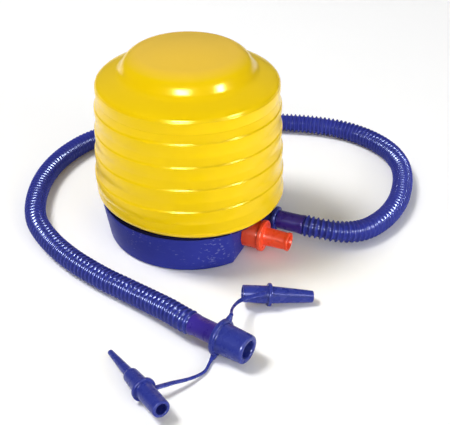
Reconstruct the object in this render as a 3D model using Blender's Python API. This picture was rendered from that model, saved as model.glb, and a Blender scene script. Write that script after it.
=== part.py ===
"""Foot-operated bellows pump for inflatable balls, with a corrugated hose and two tethered nozzles.

The frame's origin is the middle of the base's underside, +Z is up, and both ports face +X and -Y.
Lengths are in metres. Lathed outlines are pairs (radius, distance along the axis).
"""

import math

import bmesh
import bpy
from mathutils import Matrix, Vector

MM = 0.001
GAP = 0.3 * MM

# bellows
RIB_COUNT = 6
RIB_PITCH = 18.0 * MM
TOP_RIB_HEIGHT = 130.5 * MM
TOP_RIB_RADIUS = 69.0 * MM
BOTTOM_RIB_RADIUS = 75.0 * MM
FOLD_DEPTH = 2.4 * MM
BELLOWS_WALL = 1.8 * MM
LIP_RADIUS = 69.0 * MM
LIP_INNER_RADIUS = 61.4 * MM

# foot pad: the domed top of the bellows
PAD_TOP_HEIGHT = 155.4 * MM
PAD_CROWN = 3.0 * MM
PAD_RADIUS = 50.5 * MM
PAD_CORNER_RADIUS = 16.5 * MM
SHOULDER_HEIGHT = 134.5 * MM

# base
BASE_BOTTOM_RADIUS = 64.0 * MM
BASE_TOP_RADIUS = 68.0 * MM
BASE_HEIGHT = 29.5 * MM
BASE_EDGE_ROUND = 2.5 * MM
BASE_WALL = 2.2 * MM
BASE_FLOOR = 2.5 * MM
FLAT_DISTANCE = 54.0 * MM
FLAT_AZIMUTH = math.radians(-26.0)

# deck that carries the bellows
DECK_BOTTOM = BASE_HEIGHT + GAP
DECK_TOP = DECK_BOTTOM + 2.3 * MM
NECK_RADIUS = 61.0 * MM
NECK_INNER_RADIUS = 58.6 * MM
NECK_TOP = 39.5 * MM
AIR_HOLE_RADIUS = 24.0 * MM
LIP_BOTTOM = DECK_TOP + GAP
LIP_TOP = LIP_BOTTOM + BELLOWS_WALL

# return spring
COIL_RADIUS = 30.0 * MM
WIRE_RADIUS = 1.3 * MM
COIL_TURNS = 7
STIFFENER_BOTTOM = 144.0 * MM
STIFFENER_THICKNESS = 2.5 * MM

# ports on the base's flat side: offset along the flat, and height
OUTLET_OFFSET = 14.0 * MM
OUTLET_HEIGHT = 14.8 * MM
INLET_OFFSET = -12.5 * MM
INLET_HEIGHT = 14.8 * MM
OUTLET_HOLE_RADIUS = 6.3 * MM
INLET_HOLE_RADIUS = 8.8 * MM

# hose
HOSE_RADIUS = 8.35 * MM
CUFF_RADIUS = 7.4 * MM
CUFF_FLARE_RADIUS = 7.9 * MM
CUFF_BORE_RADIUS = 5.6 * MM
CUFF_LENGTH = 22.0 * MM
OUTLET_RING_FACE = 17.0 * MM
HOSE_POINT_SPACING = 18.0 * MM
SQUARE_END = 4.0 * MM

# tool end of the hose: the connector's flange, its heading and height
CONNECTOR_AT = Vector((17.3, -155.6, 13.4)) * MM
CONNECTOR_AZIMUTH = math.radians(-38.0)
FLANGE_RADIUS = 13.2 * MM
CONNECTOR_LENGTH = 24.0 * MM

# tethered nozzles: middle of the socket end, and middle of the tip
MEDIUM_SOCKET = Vector((35.8, -107.7, 11.0)) * MM
MEDIUM_TIP = Vector((87.4, -106.2, 5.2)) * MM
SMALL_SOCKET = Vector((-20.4, -218.7, 11.4)) * MM
SMALL_TIP = Vector((-56.2, -156.7, 3.0)) * MM
STRAP_RADIUS = 1.2 * MM
STRAP_POINT_SPACING = 4.0 * MM

# the hose's middle line between the two cuffs, in millimetres, laid on the floor
HOSE_ROUTE = [
    (105.5, -34.2, 13.8),
    (117.5, -35.4, 12.1),
    (129.3, -33.4, 10.5),
    (140.4, -28.2, 9.4),
    (151.2, -19.4, 8.8),
    (161.5, -8.0, 8.5),
    (171.0, 6.5, 8.5),
    (179.0, 24.0, 8.5),
    (186.0, 48.0, 8.5),
    (188.5, 73.0, 8.5),
    (183.5, 98.0, 8.5),
    (169.5, 121.5, 8.5),
    (148.0, 140.0, 8.5),
    (121.0, 151.5, 8.5),
    (92.0, 157.5, 8.5),
    (57.0, 161.5, 8.5),
    (18.0, 163.5, 8.5),
    (-25.0, 159.5, 8.5),
    (-63.0, 147.0, 8.5),
    (-93.0, 127.5, 8.5),
    (-114.0, 99.0, 8.5),
    (-126.0, 66.0, 8.5),
    (-129.5, 31.0, 8.5),
    (-125.5, -2.0, 8.5),
    (-112.5, -30.0, 8.5),
    (-92.5, -57.0, 8.5),
    (-68.5, -80.8, 8.6),
    (-50.5, -95.6, 8.9),
    (-33.5, -110.2, 9.9),
    (-17.5, -125.5, 12.0),
]

# the straps' middle lines in millimetres, from the flange's lugs to the nozzles' barrels
MEDIUM_STRAP_ROUTE = [
    (26.0, -145.6, 24.0),
    (26.3, -140.6, 22.6),
    (27.9, -132.8, 19.4),
    (31.2, -123.9, 15.9),
    (35.6, -117.7, 13.2),
    (41.2, -115.7, 12.2),
]
SMALL_STRAP_ROUTE = [
    (10.9, -165.5, 2.2),
    (10.2, -170.0, 1.6),
    (7.4, -175.6, 1.6),
    (2.4, -180.9, 2.4),
    (-5.0, -186.4, 4.4),
    (-13.8, -191.3, 6.7),
    (-23.2, -196.6, 8.6),
]


def material(name, colour, roughness, metallic=0.0):
    """A Principled material of one colour."""
    made = bpy.data.materials.new(name)
    made.use_nodes = True
    shader = made.node_tree.nodes["Principled BSDF"]
    shader.inputs["Base Color"].default_value = (*colour, 1.0)
    shader.inputs["Roughness"].default_value = roughness
    shader.inputs["Metallic"].default_value = metallic
    return made


def add_object(name, data, finish, parent=None):
    """Link a named object with its material, under an optional parent."""
    obj = bpy.data.objects.new(name, data)
    obj.data.materials.append(finish)
    bpy.context.collection.objects.link(obj)
    obj.parent = parent
    return obj


def add_pivot(name, place):
    """An empty on a joint's axis."""
    pivot = bpy.data.objects.new(name, None)
    pivot.location = place
    bpy.context.collection.objects.link(pivot)
    return pivot


def mesh_from(name, bm):
    """Turn a bmesh into a smooth-shaded mesh with its faces pointing out."""
    bmesh.ops.recalc_face_normals(bm, faces=bm.faces)
    mesh = bpy.data.meshes.new(name)
    bm.to_mesh(mesh)
    bm.free()
    mesh.shade_smooth()
    mesh.set_sharp_from_angle(angle=math.radians(35.0))
    return mesh


def lathe(name, outline, segments=48):
    """Turn an outline of (radius, height) about Z: a ring, or a solid when it ends on the axis."""
    bm = bmesh.new()
    rings = []
    for radius, height in outline:
        if radius == 0.0:
            rings.append([bm.verts.new((0.0, 0.0, height))] * segments)
            continue
        angles = [2.0 * math.pi * k / segments for k in range(segments)]
        rings.append([bm.verts.new((radius * math.cos(a), radius * math.sin(a), height)) for a in angles])
    solid = outline[0][0] == 0.0
    pairs = list(zip(rings, rings[1:]))
    if not solid:
        pairs.append((rings[-1], rings[0]))
    for lower, upper in pairs:
        for k in range(segments):
            after = (k + 1) % segments
            corners = [lower[k], lower[after], upper[after], upper[k]]
            bm.faces.new(list(dict.fromkeys(corners)))
    return mesh_from(name, bm)


def along(direction, place):
    """The placing that puts a lathed shape's axis along a direction, with its zero at a place."""
    turn = Vector(direction).to_track_quat("Z", "X").to_matrix().to_4x4()
    return Matrix.Translation(place) @ turn


def arc(centre, radii, start, end, steps):
    """Points on an ellipse's arc, angles in degrees from the radial direction."""
    angles = [math.radians(start + (end - start) * k / steps) for k in range(steps + 1)]
    return [(centre[0] + radii[0] * math.cos(a), centre[1] + radii[1] * math.sin(a)) for a in angles]


def smooth_route(points, spacing, leaving=None, arriving=None):
    """Evenly spaced points on a Catmull-Rom curve, which may leave and arrive in set directions."""
    first = 2 * points[0] - points[1]
    last = 2 * points[-1] - points[-2]
    if leaving:
        first = points[1] - leaving * 2.0 * (points[1] - points[0]).length
    if arriving:
        last = points[-2] + arriving * 2.0 * (points[-1] - points[-2]).length
    padded = [first, *points, last]
    fine = [points[0]]
    for before, here, there, after in zip(padded, padded[1:], padded[2:], padded[3:]):
        for k in range(1, 25):
            t = k / 24
            pull = here * 2 + (there - before) * t
            pull += (before * 2 - here * 5 + there * 4 - after) * t**2
            pull += (here * 3 - before - there * 3 + after) * t**3
            fine.append(pull / 2)
    lengths = [0.0]
    for here, there in zip(fine, fine[1:]):
        lengths.append(lengths[-1] + (there - here).length)
    count = max(2, round(lengths[-1] / spacing))
    even = []
    place = 0
    for k in range(count + 1):
        want = lengths[-1] * k / count
        while place < len(fine) - 2 and lengths[place + 1] < want:
            place += 1
        share = (want - lengths[place]) / (lengths[place + 1] - lengths[place])
        even.append(fine[place].lerp(fine[place + 1], share))
    return even


def tube(name, points, radius, finish, sides, parent=None):
    """A round cord: a curve with a bevel and filled ends, in its parent's space."""
    curve = bpy.data.curves.new(name, "CURVE")
    curve.dimensions = "3D"
    curve.bevel_depth = radius
    curve.bevel_resolution = sides
    curve.use_fill_caps = True
    spline = curve.splines.new("POLY")
    spline.points.add(len(points) - 1)
    origin = parent.location if parent else Vector((0.0, 0.0, 0.0))
    for point, place in zip(spline.points, points):
        point.co = (*(place - origin), 1.0)
    return add_object(name, curve, finish, parent)


def rib_radius(index):
    """Crest radius of a rib, counted from the top: the bellows widens a little downwards."""
    share = index / (RIB_COUNT - 1)
    return TOP_RIB_RADIUS + (BOTTOM_RIB_RADIUS - TOP_RIB_RADIUS) * share


def rib_half(index, start, end, steps=3):
    """Part of a rib's outer curve: 1 is the groove above the crest and -1 the groove below."""
    points = []
    for k in range(steps + 1):
        share = start + (end - start) * k / steps
        height = TOP_RIB_HEIGHT - RIB_PITCH * index + share * RIB_PITCH / 2
        points.append((rib_radius(index) - FOLD_DEPTH * share**2, height))
    return points


def inset(outline, amount):
    """The same outline, nearer the axis: the shell's inner side."""
    return [(radius - amount, height) for radius, height in outline]


def seam_height():
    """Height of the groove under the top rib, where the folds meet the pad."""
    return TOP_RIB_HEIGHT - RIB_PITCH / 2


def bellows_folds_outline():
    """Outer curve from the seam down to the lip, then the inner curve back up."""
    outer = []
    for index in range(1, RIB_COUNT):
        lowest = -1.0 if index < RIB_COUNT - 1 else 0.0
        outer += rib_half(index, 1.0, lowest, 4 if lowest < 0 else 2)[1 if index > 1 else 0:]
    outer[0] = (outer[0][0], seam_height() - GAP / 2)
    bottom_crest = TOP_RIB_HEIGHT - RIB_PITCH * (RIB_COUNT - 1)
    drop = bottom_crest - LIP_BOTTOM
    belly = (BOTTOM_RIB_RADIUS - LIP_RADIUS, drop)
    outer += arc((LIP_RADIUS, bottom_crest), belly, 0.0, -90.0, 5)[1:]
    inner = [p for p in inset(outer, BELLOWS_WALL) if p[1] > LIP_TOP + BELLOWS_WALL]
    lip = [(LIP_INNER_RADIUS, LIP_BOTTOM), (LIP_INNER_RADIUS, LIP_TOP), (LIP_RADIUS - 1.0 * MM, LIP_TOP)]
    return outer + lip + inner[::-1]


def pad_outer_outline():
    """The foot pad's outer curve, from the middle of its top to the seam."""
    flat_radius = PAD_RADIUS - PAD_CORNER_RADIUS
    points = [(0.0, PAD_TOP_HEIGHT)]
    for share in (0.35, 0.7):
        points.append((flat_radius * share, PAD_TOP_HEIGHT - PAD_CROWN * share**2))
    corner_height = PAD_TOP_HEIGHT - PAD_CROWN - PAD_CORNER_RADIUS
    points += arc((flat_radius, corner_height), (PAD_CORNER_RADIUS,) * 2, 90.0, 8.0, 4)
    shoulder = (rib_radius(0) - PAD_RADIUS - 1.5 * MM, SHOULDER_HEIGHT - TOP_RIB_HEIGHT)
    points += arc((PAD_RADIUS + 1.5 * MM, TOP_RIB_HEIGHT), shoulder, 90.0, 0.0, 5)
    points += rib_half(0, 0.0, -1.0, 2)[1:]
    points[-1] = (points[-1][0], seam_height() + GAP / 2)
    return points


def foot_pad_outline():
    """The pad as a shell, open underneath."""
    outer = pad_outer_outline()
    inner = [(0.0, PAD_TOP_HEIGHT - BELLOWS_WALL)]
    for radius, height in outer[1:-1]:
        lift = BELLOWS_WALL if height > SHOULDER_HEIGHT - 2.0 * MM else 0.0
        inner.append((radius - BELLOWS_WALL * 0.8, height - lift))
    inner.append((outer[-1][0] - BELLOWS_WALL, outer[-1][1]))
    return outer + inner[::-1]


def flat_sided_ring(radius, flat_distance, height, arc_steps=44, flat_steps=4):
    """A circle's points with one side cut straight, at FLAT_AZIMUTH."""
    half = math.acos(flat_distance / radius)
    turn = 2.0 * math.pi - 2.0 * half
    points = []
    for k in range(arc_steps):
        angle = FLAT_AZIMUTH + half + turn * k / arc_steps
        points.append(Vector((radius * math.cos(angle), radius * math.sin(angle), height)))
    outward, sideways = flat_directions()
    reach = radius * math.sin(half)
    for k in range(flat_steps):
        offset = -reach + 2.0 * reach * k / flat_steps
        points.append(outward * flat_distance + sideways * offset + Vector((0.0, 0.0, height)))
    return points


def flat_directions():
    """The base's flat side: its outward direction, and the level direction along it."""
    outward = Vector((math.cos(FLAT_AZIMUTH), math.sin(FLAT_AZIMUTH), 0.0))
    sideways = Vector((-math.sin(FLAT_AZIMUTH), math.cos(FLAT_AZIMUTH), 0.0))
    return outward, sideways


def base_cup_mesh():
    """A cup with a tapered round wall, one flat side and an open top."""
    taper = (BASE_TOP_RADIUS - BASE_BOTTOM_RADIUS) / BASE_HEIGHT
    edge = BASE_EDGE_ROUND
    foot = arc((BASE_BOTTOM_RADIUS - edge, edge), (edge, edge), -90.0, 0.0, 4)
    outer = [(r, FLAT_DISTANCE - (BASE_BOTTOM_RADIUS - r), z) for r, z in foot]
    outer.append((BASE_TOP_RADIUS, FLAT_DISTANCE, BASE_HEIGHT))
    inner_flat = FLAT_DISTANCE - BASE_WALL
    inner = [
        (BASE_TOP_RADIUS - BASE_WALL, inner_flat, BASE_HEIGHT),
        (BASE_BOTTOM_RADIUS - BASE_WALL + taper * BASE_FLOOR, inner_flat, BASE_FLOOR),
    ]
    bm = bmesh.new()
    loops = []
    for radius, flat, height in outer + inner:
        loops.append([bm.verts.new(p) for p in flat_sided_ring(radius, flat, height)])
    count = len(loops[0])
    for lower, upper in zip(loops, loops[1:]):
        for k in range(count):
            after = (k + 1) % count
            bm.faces.new((lower[k], lower[after], upper[after], upper[k]))
    bm.faces.new(loops[0])
    bm.faces.new(loops[-1])
    return mesh_from("base_cup", bm)


def port_place(offset, height):
    """Where a port's axis meets the outside of the base's flat side."""
    outward, sideways = flat_directions()
    return outward * FLAT_DISTANCE + sideways * offset + Vector((0.0, 0.0, height))


def cut_with(target, name, mesh, placing):
    """Cut a hidden solid out of an object."""
    cutter = bpy.data.objects.new(name, mesh)
    cutter.matrix_world = placing
    cutter.hide_render = True
    cutter.display_type = "WIRE"
    bpy.context.collection.objects.link(cutter)
    cut = target.modifiers.new(name, "BOOLEAN")
    cut.operation = "DIFFERENCE"
    cut.object = cutter


def make_base(blue):
    """The cup with its two port holes, and the deck and clamp ring that hold the bellows."""
    outward, _ = flat_directions()
    cup = add_object("base_cup", base_cup_mesh(), blue)
    holes = (
        ("outlet_hole", OUTLET_HOLE_RADIUS, OUTLET_OFFSET, OUTLET_HEIGHT),
        ("inlet_hole", INLET_HOLE_RADIUS, INLET_OFFSET, INLET_HEIGHT),
    )
    for name, radius, offset, height in holes:
        drill = lathe(name, [(0.0, -6 * MM), (radius, -6 * MM), (radius, 4 * MM), (0.0, 4 * MM)], 32)
        cut_with(cup, name, drill, along(outward, port_place(offset, height)))

    guide_top = DECK_TOP + 5.0 * MM
    guide_radius = AIR_HOLE_RADIUS + 2.5 * MM
    deck = [
        (AIR_HOLE_RADIUS, DECK_BOTTOM),
        (BASE_TOP_RADIUS, DECK_BOTTOM),
        (BASE_TOP_RADIUS, DECK_TOP),
        (NECK_RADIUS, DECK_TOP),
        (NECK_RADIUS, NECK_TOP),
        (NECK_INNER_RADIUS, NECK_TOP),
        (NECK_INNER_RADIUS, DECK_TOP),
        (guide_radius, DECK_TOP),
        (guide_radius, guide_top),
        (AIR_HOLE_RADIUS, guide_top),
    ]
    add_object("bellows_deck", lathe("bellows_deck", deck, 48), blue)

    ring_bottom = LIP_TOP + GAP
    ring_top = ring_bottom + 4.0 * MM
    ring = [
        (NECK_RADIUS + GAP, ring_bottom),
        (NECK_RADIUS + 4.3 * MM, ring_bottom),
        (NECK_RADIUS + 3.6 * MM, ring_top),
        (NECK_RADIUS + GAP, ring_top),
    ]
    add_object("bellows_clamp_ring", lathe("bellows_clamp_ring", ring, 48), blue)


def make_bellows(yellow, white):
    """The folds, the domed foot pad and the stiff disc inside the dome."""
    folds = lathe("bellows_folds", bellows_folds_outline(), 36)
    add_object("bellows_folds", folds, yellow)
    pad = lathe("foot_pad", foot_pad_outline(), 36)
    add_object("foot_pad", pad, yellow)

    bottom = STIFFENER_BOTTOM
    top = bottom + STIFFENER_THICKNESS
    boss_top = PAD_TOP_HEIGHT - PAD_CROWN - BELLOWS_WALL - GAP
    disc = [
        (0.0, bottom),
        (COIL_RADIUS + 3.2 * MM, bottom),
        (COIL_RADIUS + 3.2 * MM, bottom - 4.0 * MM),
        (COIL_RADIUS + 5.2 * MM, bottom - 4.0 * MM),
        (COIL_RADIUS + 5.2 * MM, bottom),
        (39.0 * MM, bottom),
        (39.0 * MM, top),
        (16.0 * MM, top),
        (14.0 * MM, boss_top),
        (0.0, boss_top),
    ]
    add_object("pad_stiffener", lathe("pad_stiffener", disc, 32), white)


def make_spring(steel):
    """A coil spring with closed ends, from the deck to the stiffener."""
    low = DECK_TOP + GAP + WIRE_RADIUS
    high = STIFFENER_BOTTOM - GAP - WIRE_RADIUS
    steps_a_turn = 16
    sides = 5
    bm = bmesh.new()
    loops = []
    for k in range(COIL_TURNS * steps_a_turn + 1):
        turns = k / steps_a_turn
        share = min(max((turns - 0.75) / (COIL_TURNS - 1.5), 0.0), 1.0)
        closed = WIRE_RADIUS * 2.2 * min(turns, 0.75) / 0.75
        closed += WIRE_RADIUS * 2.2 * max(turns - COIL_TURNS + 0.75, 0.0) / 0.75
        height = low + closed + (high - low - WIRE_RADIUS * 4.4) * share
        angle = 2.0 * math.pi * turns
        radial = Vector((math.cos(angle), math.sin(angle), 0.0))
        centre = radial * COIL_RADIUS + Vector((0.0, 0.0, height))
        loop = []
        for side in range(sides):
            round_angle = 2.0 * math.pi * side / sides
            offset = radial * math.cos(round_angle) + Vector((0.0, 0.0, math.sin(round_angle)))
            loop.append(bm.verts.new(centre + offset * WIRE_RADIUS))
        loops.append(loop)
    for here, there in zip(loops, loops[1:]):
        for side in range(sides):
            after = (side + 1) % sides
            bm.faces.new((here[side], here[after], there[after], there[side]))
    bm.faces.new(loops[0])
    bm.faces.new(loops[-1])
    add_object("return_spring", mesh_from("return_spring", bm), steel)


def valve_flap_mesh(name, core_radius, lobe_radius, thickness):
    """A disc with three lobes, so that air passes between them when the flap is lifted."""
    bm = bmesh.new()
    steps = 30
    loops = []
    for height in (0.0, thickness):
        loop = []
        for k in range(steps):
            angle = 2.0 * math.pi * k / steps
            lobe = 0.5 + 0.5 * math.cos(3.0 * angle)
            radius = core_radius + (lobe_radius - core_radius) * lobe**0.6
            loop.append(bm.verts.new((radius * math.cos(angle), radius * math.sin(angle), height)))
        loops.append(loop)
    for k in range(steps):
        after = (k + 1) % steps
        bm.faces.new((loops[0][k], loops[0][after], loops[1][after], loops[1][k]))
    bm.faces.new(loops[0])
    bm.faces.new(loops[1])
    return mesh_from(name, bm)


def add_on_axis(name, mesh, finish, direction, place):
    """Add a lathed piece with its axis along a direction."""
    piece = add_object(name, mesh, finish)
    piece.matrix_world = along(direction, place)
    return piece


def scaled(outline):
    """An outline written in millimetres, in metres."""
    return [(radius * MM, height * MM) for radius, height in outline]


def make_outlet(blue, black):
    """The hose port: spigot and ring, the valve seat behind the wall, and the flap between them."""
    outward, _ = flat_directions()
    place = port_place(OUTLET_OFFSET, OUTLET_HEIGHT)
    ring_face = OUTLET_RING_FACE / MM
    port = [
        (4.8, -3.9), (6.0, -3.9), (6.0, 0.3), (7.6, 0.3), (7.6, ring_face - 3.2), (9.2, ring_face - 3.2),
        (9.8, ring_face - 2.4), (9.8, ring_face - 0.8), (9.2, ring_face), (5.3, ring_face),
        (5.3, ring_face + 12.0), (4.9, ring_face + 13.5), (3.6, ring_face + 13.5), (3.6, 4.0), (4.8, 3.0),
    ]
    add_on_axis("outlet_port", lathe("outlet_port", scaled(port), 24), blue, outward, place)
    seat = [(3.0, -9.5), (8.6, -9.5), (8.6, -2.5), (6.3, -2.5), (6.3, -7.5), (3.0, -7.5)]
    add_on_axis("outlet_valve_seat", lathe("outlet_valve_seat", scaled(seat), 24), blue, outward, place)
    flap = valve_flap_mesh("outlet_valve_flap", 3.9 * MM, 5.8 * MM, 1.2 * MM)
    add_on_axis("outlet_valve_flap", flap, black, outward, place - outward * 7.2 * MM)


def make_inlet(red, blue, black):
    """The air inlet: hub, spout, the nut behind the wall and the flap inside the hub."""
    outward, _ = flat_directions()
    place = port_place(INLET_OFFSET, INLET_HEIGHT)
    hub = [
        (7.0, -7.0), (8.5, -7.0), (8.5, 0.3), (11.0, 0.3), (11.2, 1.0), (11.2, 12.2), (10.9, 12.5),
        (9.0, 12.5), (9.0, 4.7), (7.0, 4.7),
    ]
    add_on_axis("inlet_hub", lathe("inlet_hub", scaled(hub), 28), red, outward, place)
    spout = [
        (4.5, 8.5), (8.7, 8.5), (8.7, 12.8), (11.9, 12.8), (12.4, 13.4), (12.4, 15.6), (11.6, 16.4),
        (7.6, 16.8), (7.0, 17.6), (6.8, 33.8), (7.2, 34.6), (7.2, 36.0), (6.8, 36.6), (5.6, 36.6),
        (5.2, 36.0), (5.2, 12.0), (4.5, 11.0),
    ]
    add_on_axis("inlet_spout", lathe("inlet_spout", scaled(spout), 28), red, outward, place)
    nut = [(8.8, -6.0), (11.5, -6.0), (11.5, -2.5), (8.8, -2.5)]
    add_on_axis("inlet_nut", lathe("inlet_nut", scaled(nut), 24), blue, outward, place)
    flap = valve_flap_mesh("inlet_valve_flap", 5.7 * MM, 8.5 * MM, 1.2 * MM)
    add_on_axis("inlet_valve_flap", flap, black, outward, place + outward * 7.0 * MM)


def make_cuff(name, finish, direction, place):
    """A smooth sleeve on one end of the hose, its mouth at the place and its body behind it."""
    length = CUFF_LENGTH
    outline = [
        (CUFF_BORE_RADIUS, 0.0), (CUFF_RADIUS - 0.4 * MM, 0.0), (CUFF_RADIUS, 0.6 * MM),
        (CUFF_RADIUS, length - 4.0 * MM), (CUFF_FLARE_RADIUS, length - 1.0 * MM),
        (CUFF_FLARE_RADIUS, length), (CUFF_BORE_RADIUS, length),
    ]
    return add_on_axis(name, lathe(name, outline, 24), finish, direction, place)


def connector_direction():
    """The way that the connector's mouth points."""
    return Vector((math.cos(CONNECTOR_AZIMUTH), math.sin(CONNECTOR_AZIMUTH), 0.0))


def make_hose(blue, violet):
    """The corrugated tube's plain solid, between its two cuffs."""
    outward, _ = flat_directions()
    pump_mouth = port_place(OUTLET_OFFSET, OUTLET_HEIGHT) + outward * (OUTLET_RING_FACE + GAP)
    make_cuff("hose_cuff_pump_end", violet, outward, pump_mouth)
    tool_mouth = CONNECTOR_AT - connector_direction() * GAP
    make_cuff("hose_cuff_tool_end", violet, -connector_direction(), tool_mouth)
    start = pump_mouth + outward * (CUFF_LENGTH + GAP)
    end = tool_mouth - connector_direction() * (CUFF_LENGTH + GAP)
    first = start + outward * SQUARE_END
    last = end - connector_direction() * SQUARE_END
    route = [first] + [Vector(point) * MM for point in HOSE_ROUTE] + [last]
    bends = smooth_route(route, HOSE_POINT_SPACING, outward, connector_direction())
    points = [start] + bends + [end]
    tube("hose", points, HOSE_RADIUS, blue, 3)


def lug_place(angle):
    """A point on the connector's flange rim, at an angle from its level side."""
    level = Vector((-connector_direction().y, connector_direction().x, 0.0))
    spoke = level * math.cos(angle) + Vector((0.0, 0.0, math.sin(angle)))
    middle = CONNECTOR_AT + connector_direction() * 1.6 * MM
    return middle, spoke


def make_connector(blue):
    """The large outlet that the hose ends in, with a lug on its flange for each strap."""
    front = CONNECTOR_LENGTH / MM
    rim = FLANGE_RADIUS / MM
    outline = [
        (3.6, -12.0), (4.9, -12.0), (5.3, -10.8), (5.3, 0.0), (rim - 0.8, 0.0), (rim, 0.8), (rim, 2.4),
        (rim - 0.8, 3.2), (11.2, 3.2), (10.7, 4.0), (10.1, front - 1.4), (9.5, front - 0.3),
        (8.7, front), (7.0, front), (6.3, front - 0.8), (6.2, 9.0), (3.6, 7.0),
    ]
    body = add_object("end_connector", lathe("end_connector", scaled(outline), 32), blue)
    body.matrix_world = along(connector_direction(), CONNECTOR_AT)
    for name, angle in (("medium_lug", 45.0), ("small_lug", -130.0)):
        middle, spoke = lug_place(math.radians(angle))
        stub = [(0.0, 11.5 * MM), (2.2 * MM, 11.5 * MM), (2.2 * MM, 14.2 * MM), (1.6 * MM, 14.8 * MM)]
        stub.append((0.0, 14.8 * MM))
        lug = bpy.data.objects.new(name, lathe(name, stub, 12))
        lug.matrix_world = along(spoke, middle)
        lug.hide_render = True
        lug.display_type = "WIRE"
        bpy.context.collection.objects.link(lug)
        join = body.modifiers.new(name, "BOOLEAN")
        join.operation = "UNION"
        join.object = lug


def make_nozzle(name, outline, socket, tip, finish, pivot):
    """A tethered nozzle, turned about the line from its socket end to its tip."""
    nozzle = add_object(name, lathe(name, scaled(outline), 24), finish, pivot)
    nozzle.matrix_local = along(tip - socket, socket - pivot.location)
    return nozzle


def make_tethered_nozzles(blue):
    """The two nozzles and the straps that tie them to the connector's flange."""
    medium_pivot = add_pivot("medium_tether_pivot", Vector(MEDIUM_STRAP_ROUTE[0]) * MM)
    small_pivot = add_pivot("small_tether_pivot", Vector(SMALL_STRAP_ROUTE[0]) * MM)
    medium_length = (MEDIUM_TIP - MEDIUM_SOCKET).length / MM
    medium = [
        (4.8, 0.0), (6.1, 0.0), (6.4, 0.4), (6.6, 18.0), (8.1, 18.4), (8.5, 19.2), (8.5, 20.2), (8.1, 21.0),
        (6.3, 21.6), (4.5, medium_length - 0.8), (4.0, medium_length), (3.0, medium_length),
        (2.6, medium_length - 0.6), (2.6, 24.0), (4.6, 16.0),
    ]
    make_nozzle("medium_nozzle", medium, MEDIUM_SOCKET, MEDIUM_TIP, blue, medium_pivot)
    small_length = (SMALL_TIP - SMALL_SOCKET).length / MM
    small = [
        (3.8, 0.0), (5.7, 0.0), (6.1, 0.5), (6.3, 22.0), (7.9, 22.4), (8.3, 23.2), (8.3, 24.2), (7.9, 25.0),
        (6.2, 25.5), (5.4, 41.6), (4.9, 42.6), (3.5, 43.4), (2.1, small_length - 0.8),
        (1.6, small_length), (1.1, small_length), (1.1, 22.0), (3.8, 18.0),
    ]
    make_nozzle("small_nozzle", small, SMALL_SOCKET, SMALL_TIP, blue, small_pivot)
    straps = (
        ("medium_strap", MEDIUM_STRAP_ROUTE, medium_pivot),
        ("small_strap", SMALL_STRAP_ROUTE, small_pivot),
    )
    for name, route, pivot in straps:
        points = smooth_route([Vector(point) * MM for point in route], STRAP_POINT_SPACING)
        tube(name, points, STRAP_RADIUS, blue, 2, pivot)


def main():
    for obj in list(bpy.data.objects):
        bpy.data.objects.remove(obj)
    yellow = material("yellow_vinyl", (0.87, 0.60, 0.01), 0.25)
    blue = material("blue_plastic", (0.03, 0.035, 0.30), 0.3)
    violet = material("violet_blue_plastic", (0.045, 0.02, 0.25), 0.3)
    red = material("orange_red_plastic", (0.84, 0.07, 0.025), 0.3)
    white = material("white_plastic", (0.8, 0.8, 0.78), 0.4)
    black = material("black_rubber", (0.02, 0.02, 0.02), 0.7)
    steel = material("spring_steel", (0.55, 0.56, 0.58), 0.3, 1.0)
    make_base(blue)
    make_bellows(yellow, white)
    make_spring(steel)
    make_outlet(blue, black)
    make_inlet(red, blue, black)
    make_hose(blue, violet)
    make_connector(blue)
    make_tethered_nozzles(blue)


main()
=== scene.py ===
"""Looks of a foot-operated bellows pump: yellow vinyl bellows, blue base, corrugated hose and two nozzles.

Lengths are in metres and +Z is up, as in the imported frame. Named sizes are in millimetres, unless MM
multiplies them or a comment says metres. Outlines are pairs (radius, distance along the axis) in
millimetres, and a third number there is the corner's own radius.
"""

import math

import bmesh
import bpy
import numpy as np
from mathutils import Matrix, Vector


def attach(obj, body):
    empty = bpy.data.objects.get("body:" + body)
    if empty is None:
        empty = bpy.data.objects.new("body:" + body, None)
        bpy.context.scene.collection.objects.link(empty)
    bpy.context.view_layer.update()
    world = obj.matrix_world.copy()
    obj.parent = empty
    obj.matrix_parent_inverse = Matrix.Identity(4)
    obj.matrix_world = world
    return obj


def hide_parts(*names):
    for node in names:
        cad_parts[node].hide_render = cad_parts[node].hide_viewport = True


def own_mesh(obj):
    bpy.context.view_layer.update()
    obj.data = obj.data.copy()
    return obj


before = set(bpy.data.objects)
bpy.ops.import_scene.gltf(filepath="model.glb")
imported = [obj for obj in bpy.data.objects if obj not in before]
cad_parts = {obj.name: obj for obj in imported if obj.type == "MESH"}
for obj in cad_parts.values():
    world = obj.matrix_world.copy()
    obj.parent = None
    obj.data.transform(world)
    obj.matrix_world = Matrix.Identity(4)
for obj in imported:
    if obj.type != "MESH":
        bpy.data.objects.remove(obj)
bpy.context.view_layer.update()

MM = 0.001
# points closer than this, in metres, are one point
MERGE_DISTANCE = 1e-7
# the most of a side that one rounded corner takes
CORNER_SHARE = 0.48

# bellows and foot pad
RIB_COUNT = 6
RIB_PITCH = 18.0
TOP_RIB_HEIGHT = 130.5
RIB_RADII = (69.2, 71.0, 71.9, 73.0, 74.0, 75.0)
FOLD_DEPTH = 1.0
# how far down a rib, as a share of the pitch, and how deep there, as a share of the fold's depth
RIB_SHAPE = (
    (-0.40, 1.0), (-0.30, 1.0), (-0.15, 0.90), (-0.07, 0.76), (-0.035, 0.60), (0.0, 0.10), (0.03, 0.0),
    (0.10, 0.0), (0.20, 0.04), (0.40, 0.42), (0.55, 0.89), (0.60, 1.0), (0.70, 1.0),
)
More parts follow.
